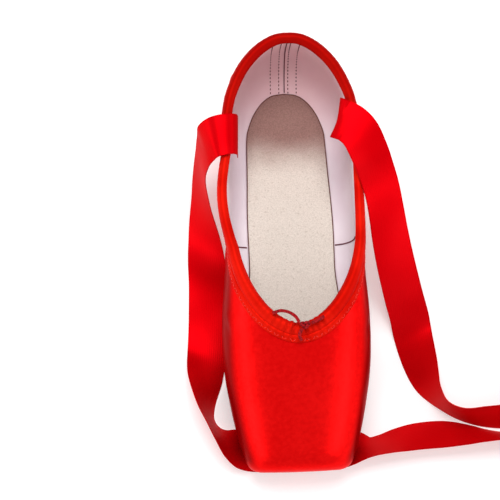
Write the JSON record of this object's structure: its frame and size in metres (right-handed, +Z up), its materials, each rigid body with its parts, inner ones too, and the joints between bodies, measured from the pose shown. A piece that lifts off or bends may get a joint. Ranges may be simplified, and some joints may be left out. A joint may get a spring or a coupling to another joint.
{
  "type": "pointe shoe",
  "caption": "Red satin pointe shoe with a blocked toe, drawstring collar, tan leather outsole and two loose ribbons.",
  "frame": {"origin": "centre of the shoe's bounding box, without its ribbons and drawstring, at the floor", "axes": "+Z up, +Y from the toe towards the heel, +X across the shoe, to the right as seen from above with the heel away"},
  "size_m": [0.2596, 0.2367, 0.069],
  "materials": {
    "satin": "glossy woven satin",
    "binding": "folded satin tape, stitched",
    "ribbon": "single face satin ribbon",
    "cord": "braided cotton cord",
    "sole_leather": "matte suede split leather",
    "insole_board": "matte fibre board"
  },
  "bodies": {
    "root": {"upper": "satin", "outsole": "sole_leather", "insole": "insole_board", "collar_binding": "binding", "drawstring_knot": "cord", "drawstring_loop": "cord", "drawstring_end_left": "cord", "drawstring_end_right": "cord", "ribbon_left": "ribbon", "ribbon_right": "ribbon"}
  },
  "joints": []
}
